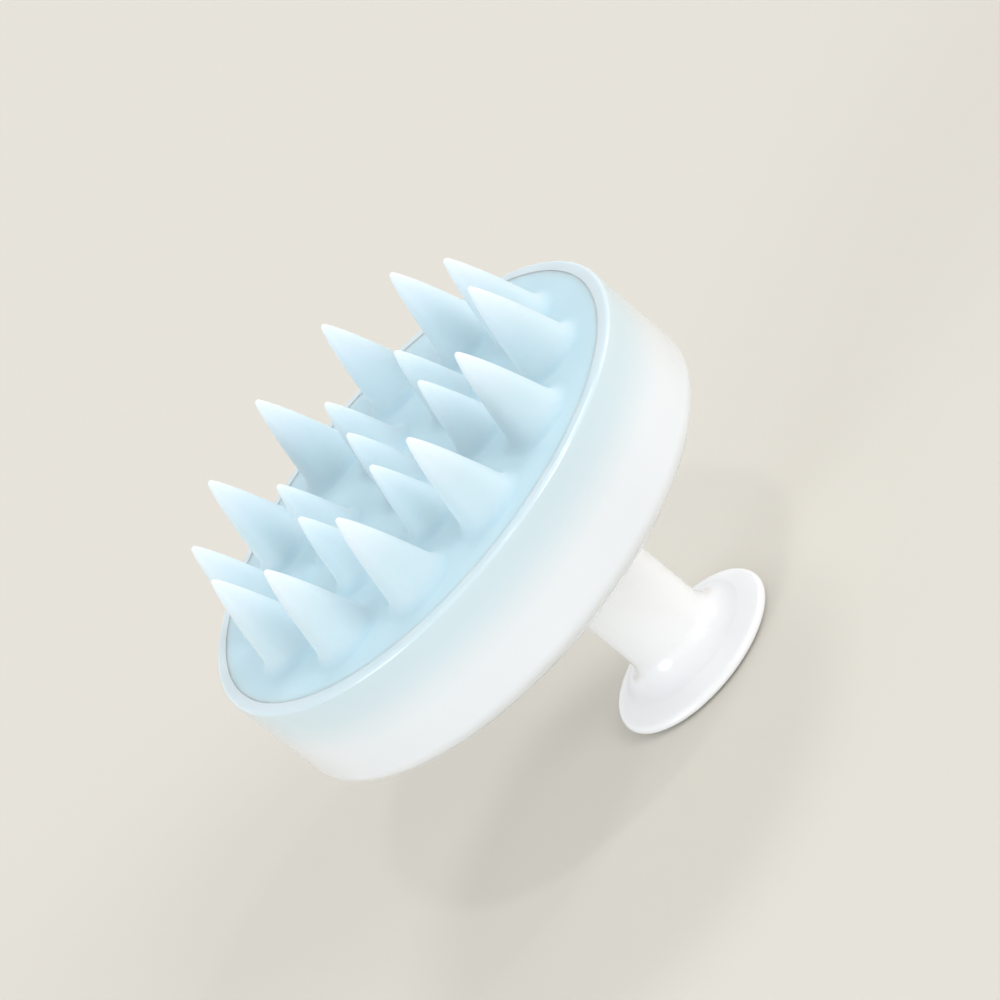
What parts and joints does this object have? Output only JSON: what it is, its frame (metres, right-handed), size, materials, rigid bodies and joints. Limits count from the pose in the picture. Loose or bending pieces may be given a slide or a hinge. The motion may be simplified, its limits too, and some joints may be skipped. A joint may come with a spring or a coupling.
{
  "type": "scalp massager brush",
  "caption": "Round hand-held scalp massager: a milky cup on an off-centre finger knob, closed by a soft bristle head that pulls straight out.",
  "frame": {"origin": "on the cup's axis, level with the knob's end face, on which the brush stands", "axes": "+Z from the knob to the bristle tips along the cup's axis; +X towards the side that the knob is set off to"},
  "size_m": [0.076, 0.076, 0.0644],
  "materials": {
    "milky_plastic": "milky translucent polypropylene, glossy",
    "blue_silicone": "pale blue silicone, soft satin",
    "white_plastic": "white polypropylene, satin",
    "plated_steel": "zinc plated"
  },
  "bodies": {
    "handle": {"shell": "milky_plastic", "knob": "milky_plastic", "knob_screw": "plated_steel", "knob_washer": "plated_steel"},
    "head": {"bristle_pad": "blue_silicone", "pad_carrier": "white_plastic"}
  },
  "joints": [
    {"name": "head_pull_out", "type": "slide", "parent": "handle", "child": "head", "axis": [0, 0, 1], "range_m": [0, 0.03]}
  ]
}
